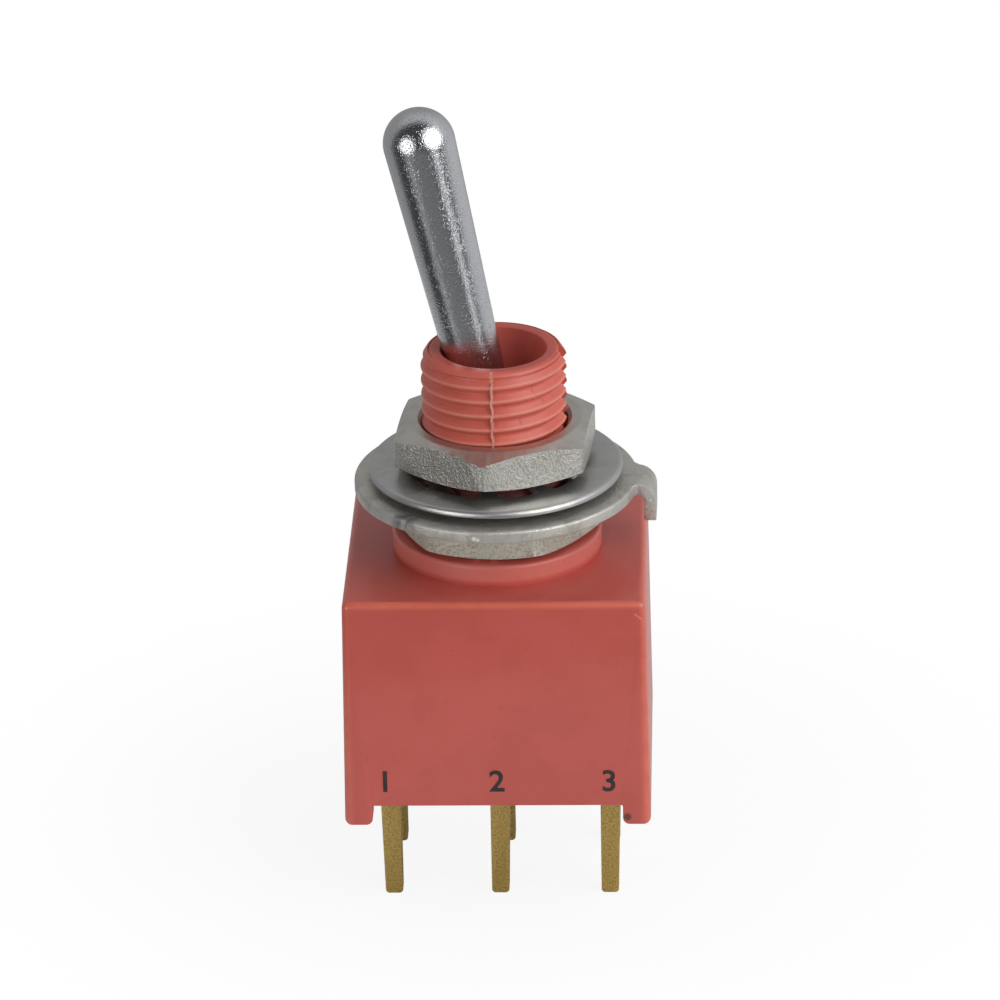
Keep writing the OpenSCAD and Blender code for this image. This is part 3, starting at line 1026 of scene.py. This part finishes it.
    def model(self) -> Obj:
        """Models the housing.

        Returns:
            The housing.
        """
        body = combine(self.case(), Join.CUT, *self.pocket())
        combine(body, Join.ADD, *self.bushing(), self.flash())
        return combine(body, Join.CUT, *self.bore())


# ---- Nuts and washers ----


@dataclass
class HexNut(Piece):
    """A hex nut with chamfered corners and a countersunk bore."""

    flats: Material
    turn: float
    corner_cut: float
    across_flats: float = 7.94
    face_r: float = 3.64
    chamfer: float = 20.0
    bore_r: float = 3.09
    entry_r: float = 3.24
    thread_t: float = 0.1
    edge: float = 0.1

    def bore(self) -> Obj:
        """The bore, with a countersink and a first turn of thread at each end.

        Returns:
            The shape that is cut away.
        """
        low, high = self.box.low.z, self.box.high.z
        inner, root, deep = self.bore_r, self.bore_r + self.thread_t, self.entry_r - self.bore_r
        lip = [
            (self.entry_r + 0.2, -0.2), (inner, deep), (inner, deep + 0.06), (root, deep + 0.16),
            (root, deep + 0.3), (inner, deep + 0.4),
        ]
        lower, upper = [(r, low + z) for r, z in lip], [(r, high - z) for r, z in reversed(lip)]
        return turned("bore", [(0, low - 0.2), *lower, *upper, (0, high + 0.2)])

    def assign_flats(self, nut: Obj) -> None:
        """Gives the nut's six flats and their corners the second material.

        Args:
            nut: The nut.
        """
        edit(nut, "FACE")
        for face in bmesh.from_edit_mesh(nut.data).faces:
            if abs(face.normal.z) < 0.2 and face.calc_center_median().xy.length > self.entry_r + 0.3:
                face.select_set(True)
        bmesh.update_edit_mesh(nut.data)
        nut.data.materials.append(self.finish)
        nut.data.materials.append(self.flats)
        nut.active_material_index = 1
        bpy.ops.object.material_slot_assign()
        done()

    def model(self) -> Obj:
        """Models the nut.

        Returns:
            The nut.
        """
        low, high = self.box.low.z, self.box.high.z
        reach = self.across_flats / math.sqrt(3)
        nut, out = rod(self.name, reach, low, high, 6), reach + 0.1
        drop = (out - self.face_r) * math.tan(math.radians(self.chamfer))
        envelope = turned("envelope", [
            (0, low), (self.face_r, low, 0.4), (out, low + drop), (out, high - drop),
            (self.face_r, high, 0.4), (0, high),
        ], 180)
        rounded = rod("corners", reach - self.corner_cut, low - 1, high + 1, 180)
        for part in (nut, envelope, rounded):
            move(part, about_z(self.turn))
        combine(nut, Join.MEET, envelope, rounded)
        combine(nut, Join.CUT, self.bore())
        soften(nut, self.edge, 32.0, 3)
        self.assign_flats(nut)
        return nut


@dataclass
class LockWasher(Piece):
    """A flat rim with ten short teeth inside it, each twisted about its own length."""

    thickness: float = 0.3
    lift: float = 0.035
    root_r: float = 3.85
    tip_r: float = 3.19
    tooth_w: float = 1.2
    twist: float = 30.0
    count: int = 10
    edge: float = 0.05
    roll: float = 0.2

    def tooth(self) -> Obj:
        """One tooth along X: a strip that lies flat at its root and is twisted at its tip.

        Returns:
            The tooth.
        """
        half_w, half_t = self.tooth_w / 2, self.thickness / 2
        strip = block("tooth", (self.tip_r, -half_w, -half_t), (self.root_r + 0.25, half_w, half_t))
        edit(strip)
        pick(strip, lambda co: is_near(co.x, self.tip_r))
        tip, twist = (self.tip_r, 0, 0), math.radians(self.twist)
        bpy.ops.transform.rotate(value=twist, orient_axis="X", orient_type="GLOBAL", center_override=tip)
        done()
        bpy.context.view_layer.update()
        return move(soften(strip, 0.03), Matrix.Translation((0, 0, self.box.middle.z)))

    def model(self) -> Obj:
        """Models the washer.

        Returns:
            The washer.
        """
        outer, middle = self.box.size.x / 2, self.box.middle.z
        low, high = (middle + self.lift + side * self.thickness / 2 for side in (-1, 1))
        rim = turned(self.name, [
            (self.root_r, low, self.edge), (outer, low, self.edge), (outer, high, self.roll),
            (self.root_r, high, self.edge),
        ], 160, 3)
        step = 360 / self.count
        return combine(rim, Join.ADD, *(move(self.tooth(), about_z((i + 0.5) * step)) for i in range(self.count)))


@dataclass
class LocatingRing(Piece):
    """A flat ring with a key inside it and a tab bent down outside it."""

    thickness: float = 0.5
    outer_r: float = 5.96
    hole_r: float = 3.11
    key_reach: float = 2.75
    key_w: float = 0.76
    tab_w: float = 2.1
    tab_flare: float = 0.75
    tab_root: float = 0.7
    tab_reach: float = 6.75
    bend_r: float = 0.85
    tab_end_r: float = 0.5
    edge: float = 0.05
    roll: float = 0.12

    def tab(self, root: float, top: float) -> Obj:
        """The bent tab, rounded at its end.

        Args:
            root: Where the tab leaves the ring.
            top: Height of the ring's upper face.

        Returns:
            The tab.
        """
        low, half, under = self.box.low.z, self.tab_w / 2, top - self.thickness
        reach, inner = self.tab_reach, self.tab_reach - self.thickness
        tab = slab("tab", [
            (root, under), (inner, under, self.bend_r - self.thickness), (inner, low), (reach, low),
            (reach, top, self.bend_r), (root, top),
        ], -half, half, arc=8)
        face = [(-half, low, self.tab_end_r), (half, low, self.tab_end_r), (half, top + 1), (-half, top + 1)]
        stamp = move(slab("stamp", face, -9, 9), about_z(90))
        return soften(combine(tab, Join.MEET, stamp), self.edge)

    def model(self) -> Obj:
        """Models the ring.

        Returns:
            The ring.
        """
        top, root, half = self.box.high.z, self.outer_r - self.tab_root, self.tab_w / 2
        under, step, flare = top - self.thickness, root + 0.75, half + self.tab_flare
        ring = turned(self.name, [
            (self.hole_r, under, self.edge), (self.outer_r, under, self.edge),
            (self.outer_r, top, self.roll), (self.hole_r, top, self.edge),
        ], 160, 4)
        key = block("key", (self.key_reach, -self.key_w / 2, under), (root, self.key_w / 2, top))
        wing = [(root, -flare), (step, -half, 0.2), (step, half, 0.2), (root, flare)]
        shoulders = soften(slab("shoulders", wing, under, top, upright=True), self.edge)
        extras = [move(part, about_z(KEY_TURN)) for part in (key, shoulders, self.tab(root, top))]
        return combine(ring, Join.ADD, *extras)


# ---- Lever ----


@dataclass
class ToggleLever(Piece):
    """The chromed lever: a tapered rod with a round head, its ball and its tail."""

    body: ClassVar[str] = "lever"
    slot: ClassVar[str] = "chrome"
    length: float = 13.8
    head_r: float = 1.5
    neck_r: float = 1.05
    ball_r: float = 2.1
    tail_r: float = 0.8
    tip: float = 0.16
    groove_r: float = 1.4935
    groove_h: float = 0.95
    groove_t: float = 0.36
    hole_r: float = 0.46

    def profile(self) -> list[Point]:
        """The outline from the tail's end up to the head's top, along the upright lever.

        Returns:
            The outline's points.
        """
        lean = math.radians(LEVER_LEAN)
        tail = (PIVOT_Z - self.box.low.z - (self.tail_r - self.tip) * math.sin(lean)) / math.cos(lean)
        grow = (self.head_r - self.neck_r) / self.length
        # The height at which the rod's taper leaves the ball, found by trying it again and again
        meet = self.ball_r
        for _ in range(20):
            meet = math.sqrt(self.ball_r**2 - (self.neck_r + grow * meet) ** 2)
        start = -math.acos(self.tail_r / self.ball_r)
        end = math.asin(meet / self.ball_r)
        ball = [start + (end - start) * i / 28 for i in range(29)]
        head = [math.pi / 2 * i / 24 for i in range(25)]
        points = [(0.0, -tail), (self.tail_r - self.tip, -tail), (self.tail_r, self.tip - tail)]
        points += [(self.ball_r * math.cos(a), self.ball_r * math.sin(a)) for a in ball]
        return points + [(self.head_r * math.cos(a), self.length + self.head_r * math.sin(a)) for a in head]

    def model(self) -> Obj:
        """Models the lever.

        Returns:
            The lever.
        """
        lever = turned(self.name, self.profile())
        groove = primitive(
            "groove", ops.primitive_torus_add, major_segments=96, minor_segments=24,
            major_radius=self.groove_r, minor_radius=self.groove_t, location=(0, 0, self.groove_h),
        )
        hole = lying_rod("hole", self.hole_r, 4 * self.ball_r, 48, (0, 0, 0))
        combine(lever, Join.CUT, groove, hole)
        lean = Matrix.Rotation(math.radians(-LEVER_LEAN), 4, "Y")
        return move(lever, Matrix.Translation((0, 0, PIVOT_Z)) @ lean)


# ---- Pins ----


@dataclass
class Terminal(Piece):
    """One stamped pin, whose outer edge tapers towards its tip."""

    end: int
    side: int
    taper: int
    slot: ClassVar[str] = "gold"
    row: float = 4.83
    width: float = 0.88
    tip_w: float = 0.74
    thickness: float = 0.76
    head_d: float = 2.0
    head_low: float = 3.12
    groove_r: float = 0.4
    taper_z: float = 0.9
    edge: float = 0.06
    nose: float = 0.16

    def model(self) -> Obj:
        """Models the pin with its fixed contact: a rounded block, or a grooved one in the middle.

        Returns:
            The pin.
        """
        x, y, t = self.end * PIN_PITCH, self.side * self.row / 2, self.taper
        low, high, half, deep = self.box.low.z, self.box.high.z, self.width / 2, self.thickness / 2
        foot = self.head_low + 0.3
        blade = slab(self.name, [
            (x - t * half, foot), (x - t * half, low, self.nose),
            (x + t * (self.tip_w - half), low, self.nose), (x + t * half, self.taper_z, 0.4),
            (x + t * half, foot),
        ], y - deep, y + deep)
        soften(blade, self.edge, 45.0)
        wide, far = self.box.size.x / 2, self.head_d / 2
        head = block("head", (x - wide, y - far, self.head_low), (x + wide, y + far, high - 0.02))
        if self.end:
            above = self.head_low + 0.1
            tests = [lambda co, s=s: co.z > above and (co.x - x) * s > 0 for s in (1, -1)]
            round_edges(head, tests, wide * 0.9, 6)
        else:
            groove = lying_rod("groove", self.groove_r, 2 * self.head_d, 48, (x, y, high + 0.1))
            combine(head, Join.CUT, groove)
        return combine(blade, Join.ADD, head)


# ---- Springs ----


@dataclass
class PlungerSpring(Piece):
    """A coil spring on a plunger, leaning as the lever does and riding on the lever's body."""

    joint: str
    body: ClassVar[str] = "lever"
    slot: ClassVar[str] = "steel"
    travel: float = 0.4
    outer_r: float = 0.55
    wire_r: float = 0.07
    turns: int = 5

    @cached_property
    def length(self) -> float:
        """Length of the spring at rest."""
        lean = math.radians(LEVER_LEAN)
        return (self.box.size.z - 2 * self.outer_r * math.sin(lean)) / math.cos(lean)

    @cached_property
    def tilt(self) -> Matrix:
        """The spring's lean, which is the lever's."""
        return Matrix.Rotation(-math.radians(LEVER_LEAN), 4, "Y")

    def model(self) -> Obj:
        """Models the spring.

        Returns:
            The spring.
        """
        rise = self.length - 2 * self.wire_r
        coil = primitive(
            self.name, ops.primitive_circle_add, vertices=10, radius=self.wire_r,
            location=(self.outer_r - self.wire_r, 0, -rise / 2), rotation=LYING,
        )
        wind(coil, rise / self.turns, self.turns, 40)
        return move(coil, Matrix.Translation(self.box.middle) @ self.tilt)

    def build(self) -> Obj:
        """Makes the spring and gives it a mesh of its own.

        Returns:
            The finished piece.
        """
        coil, up = super().build(), self.tilt @ Vector((0, 0, 1))
        seat = (self.box.middle + up * self.length / 2) * MM
        1 - self.travel / self.length
        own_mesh(coil)
        return coil


# ---- Marking ----


@dataclass
class PinNumbers(Piece):
    """Plain pin numbers printed in black on the housing over the three front pins."""

    slot: ClassVar[str] = "black_plastic"
    smooth: ClassVar[float] = 20.0
    stands_for_node: ClassVar[bool] = False
    size: float = 1.38
    low: float = 1.6
    ink: float = 0.012
    weight: float = 0.02

    def model(self) -> Obj:
        """Prints the numbers.

        Returns:
            The numbers, as one mesh.
        """
        digits = []
        for i in range(3):
            bpy.ops.object.select_all(action="DESELECT")
            bpy.ops.object.text_add()
            text = bpy.context.object.data
            text.body, text.align_x, text.size = str(i + 1), "CENTER", self.size
            text.extrude, text.offset = self.ink, self.weight
            bpy.ops.object.convert(target="MESH")
            spot = Matrix.Translation(((i - 1) * PIN_PITCH, self.box.low.y, self.low))
            digits.append(move(bpy.context.object, spot @ Matrix.Rotation(math.pi / 2, 4, "X")))
        numbers = gather(*digits)
        numbers.name = numbers.data.name = self.name
        return numbers


# ---- Stage ----


def heading(azimuth: float, elevation: float) -> Vector:
    """The way from the switch to a viewpoint whose place is given in degrees."""
    az, el = math.radians(azimuth), math.radians(elevation)
    return Vector((math.sin(az) * math.cos(el), -math.cos(az) * math.cos(el), math.sin(el)))


@dataclass(frozen=True)
class View:
    """The camera, looking at a point from an azimuth and an elevation."""

    azimuth: float = 2.165
    elevation: float = 24.366
    roll: float = -1.203
    distance: float = 253.26
    lens: float = 216.3
    sensor: float = 36.0
    target: Spot = (0.143, 0.0, 12.246)

    def build(self) -> None:
        """Sets the camera up."""
        az, roll = math.radians(self.azimuth), math.radians(self.roll)
        back, right = heading(self.azimuth, self.elevation), Vector((math.cos(az), math.sin(az), 0))
        up = back.cross(right)
        turned_right = right * math.cos(roll) + up * math.sin(roll)
        turned_up = up * math.cos(roll) - right * math.sin(roll)
        data = bpy.data.cameras.new("camera")
        data.lens, data.sensor_width = self.lens, self.sensor
        data.clip_start, data.clip_end = 0.01, 10.0
        camera = bpy.data.objects.new("camera", data)
        camera.matrix_world = Matrix((turned_right, turned_up, back)).transposed().to_4x4()
        camera.matrix_world.translation = (Vector(self.target) + back * self.distance) * MM
        bpy.context.scene.collection.objects.link(camera)
        bpy.context.scene.camera = camera


@dataclass(frozen=True)
class Softbox:
    """A round white studio lamp that faces the switch."""

    name: str
    azimuth: float
    elevation: float
    size: float
    power: float
    distance: float = 300.0
    aim: Spot = (0.0, 0.0, 12.0)

    def build(self) -> None:
        """Sets the lamp up."""
        back = heading(self.azimuth, self.elevation)
        data = bpy.data.lights.new(self.name, "AREA")
        data.shape, data.size, data.energy = "DISK", self.size * MM, self.power
        lamp = bpy.data.objects.new(self.name, data)
        lamp.matrix_world = back.to_track_quat("Z", "Y").to_matrix().to_4x4()
        lamp.matrix_world.translation = (Vector(self.aim) + back * self.distance) * MM
        bpy.context.scene.collection.objects.link(lamp)


@dataclass(frozen=True)
class Studio:
    """The pale table, the soft lamps and the room that metal mirrors."""

    floor_z: float
    floor_r: float = 55.0
    floor_at: Point = (20.0, 20.0)
    floor_tone: Colour = (0.9, 0.9, 0.9)
    white: Colour = (1.0, 1.0, 1.0)
    shade: float = 0.1
    shade_r: Point = (6, 28)
    pale: float = 0.36
    dark: float = 0.07
    gloom: float = 0.24
    streak_w: float = 0.055
    streaks: tuple[Point, ...] = ((52.0, 3.4), (-37.0, 1.1))
    lamps: tuple[Softbox, ...] = (
        Softbox("left_softbox", -38.0, 11.0, 215.0, 0.31), Softbox("right_softbox", 54.0, 30.0, 330.0, 0.8)
    )

    def floor(self) -> None:
        """Lays a pale round table, white to the camera apart from the shadow on it."""
        add, place = ops.primitive_circle_add, (*self.floor_at, self.floor_z)
        table = primitive("table", add, vertices=128, radius=self.floor_r, fill_type="NGON", location=place)
        to_metres(table)
        s = Surface("table_white")
        near = s.dot((0, 5, self.floor_z), *self.shade_r)
        diffuse = s.add("BsdfDiffuse", {"Color": self.floor_tone})
        glow = s.add("Emission", {"Color": self.white, "Strength": 1.0})
        share = s.from_camera() * (1 - self.shade * near)
        s.node("OutputMaterial", {"Surface": s.add("MixShader", {0: share, 1: diffuse, 2: glow})})
        table.data.materials.append(s.material)

    def room(self) -> None:
        """Paints the world: white to the camera, and a room that is pale behind and dark in front.

        The dark half holds the dim reach of the table and two upright strips under the lamps. X, Y
        and Z are the parts of a direction of length one, and so are the limits of each step.
        """
        world = bpy.context.scene.world = bpy.data.worlds.new("room")
        world.use_nodes = True
        g = Graph(world.node_tree)
        way = g.add("TexCoord", {}, "Generated")
        x, y, z = (g.add("SeparateXYZ", {0: way}, letter) for letter in "XYZ")
        below = 0 - z
        forward = 0.2 * below.rise(0.0, 0.18) + 0.95 * below.rise(0.27, 0.4)
        behind = (y + x.most(0.0) * forward).rise(-0.03, 0.03)
        pale = self.pale + 0.28 * x.rise(0.0, 0.9) + 0.2 * z.rise(0.4, 1.0)
        pale = pale + 0.55 * below.rise(0.2, 0.45) * x.rise(0.2, 0.7)
        front = self.dark + (self.gloom - self.dark) * below.rise(-0.2, 0.4) * abs(x).fall(0.46, 0.64)
        for azimuth, strength in self.streaks:
            way_x, way_y = math.cos(math.radians(azimuth)), math.sin(math.radians(azimuth))
            strip = abs(way_x * x + way_y * y).fall(0.0, self.streak_w)
            front = front + strength * strip * below.rise(-0.05, 0.1) * (0 - y).rise(0.0, 0.3)
        level = front + (pale - front) * behind
        strength = level + (1 - level) * g.from_camera()
        back = g.add("Background", {"Color": self.white, "Strength": strength})
        g.node("OutputWorld", {"Surface": back})

    def build(self) -> None:
        """Sets the stage up."""
        self.floor()
        self.room()
        for lamp in self.lamps:
            lamp.build()


# ---- The whole switch ----


class Row(Enum):
    """The two rows of pins, as the side of the case that they stand on."""

    FRONT = -1
    REAR = 1


class ToggleSwitch:
    """The switch: its housing, its hardware, its pins and what lies inside."""

    def __init__(self, nodes: Mapping[str, Obj]) -> None:
        """Mixes the finishes.

        Args:
            nodes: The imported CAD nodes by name.
        """
        self.nodes, housing = nodes, Span.of("housing")
        finishes = (
            RedMoulding(housing.size.x / 2, housing.high.y),
            Chrome(),
            Nickel("nickel_turned", Plate.TURNED),
            Nickel("nickel_tumbled", Plate.TUMBLED),
            Nickel("nickel_matt", Plate.TUMBLED, tone=srgb(208, 214, 200), metal=0.6, matt=0.24),
            Nickel("nickel_stamped", Plate.STAMPED, metal=0.94),
            Nickel("nickel_spring", Plate.TURNED, tone=srgb(192, 192, 192)),
            PinGold(),
            *(PlainFinish(name, srgb(*tone), srgb(*shade), *rest) for name, tone, shade, *rest in (
                ("drawn_steel", (190, 190, 192), (160, 160, 164), 0.25, 1.0, 0.05),
                ("silver_strip", (216, 214, 206), (180, 176, 166), 0.22, 1.0, 0.08),
                ("black_rubber", (34, 34, 35), (48, 47, 46), 0.55),
                ("natural_nylon", (228, 222, 204), (214, 206, 184), 0.4),
                ("black_base", (44, 43, 43), (58, 56, 54), 0.45),
                ("dark_resin", (52, 40, 34), (70, 54, 44), 0.12, 0.0, 0.8, 0.03),
                ("black_ink", (38, 32, 32), (60, 46, 44), 0.5, 0.0, 0.1),
            )),
        )
        self.finishes = {finish.name: finish.build() for finish in finishes}

    def pieces(self) -> list[Piece]:
        """The pieces that are modelled anew, in the order they are made.

        Returns:
            The pieces.
        """
        f = self.finishes
        face, gold = f["nickel_turned"], f["pin_gold"]
        pieces = [
            Housing("moulded_housing", "housing", f["red_moulding"]),
            HexNut("top_hex_nut", "upper_nut", face, f["nickel_tumbled"], turn=-5.5, corner_cut=0.04),
            HexNut("bottom_hex_nut", "lower_nut", face, f["nickel_matt"], turn=24.0, corner_cut=0.167),
            LockWasher("toothed_lock_washer", "lock_washer", f["nickel_spring"]),
            LocatingRing("keyed_locating_ring", "locating_ring", f["nickel_stamped"]),
            ToggleLever("bat_lever", "toggle_lever", f["chrome"]),
        ]
        for row, middle_taper in ((Row.FRONT, 1), (Row.REAR, -1)):
            side = row.name.lower()
            for end, place, taper in ((-1, "left", -1), (0, "common", middle_taper), (1, "right", 1)):
                name = f"{side}_{place}"
                pieces.append(Terminal(f"pin_{name}", f"terminal_{name}", gold, end, row.value, taper))
        pieces.append(PinNumbers("pin_numbers", "housing", f["black_ink"]))
        for row in Row:
            side = row.name.lower()
            node, joint = f"plunger_spring_{side}", f"{side}_plunger_slide"
            pieces.append(PlungerSpring(f"coil_spring_{side}", node, f["drawn_steel"], joint))
        return pieces

    def build(self) -> None:
        """Makes every piece, and gives the CAD pieces that stay their finishes."""
        for piece in self.pieces():
            piece.build()
        for name, finish in {
            "pivot_pin": "drawn_steel", "lever_o_ring": "black_rubber", "actuator": "natural_nylon",
            "plunger_front": "pin_gold", "plunger_rear": "pin_gold", "rocker_front": "silver_strip",
            "rocker_rear": "silver_strip", "terminal_base": "black_base", "terminal_seal": "dark_resin",
        }.items():
            materials = self.nodes[name].data.materials
            materials.clear()
            materials.append(self.finishes[finish])
            LOG.info("%s keeps its CAD shape", name)


def main() -> None:
    """Builds the dressed switch on its stage."""
    logging.basicConfig(level=logging.INFO, format="%(name)s: %(message)s")
    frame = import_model()
    bpy.context.scene.view_settings.view_transform = "Standard"
    ToggleSwitch(frame["nodes"]).build()
    Studio(floor_z=Span.of("terminal_front_common").low.z).build()
    View().build()


if __name__ == "__main__":
    main()
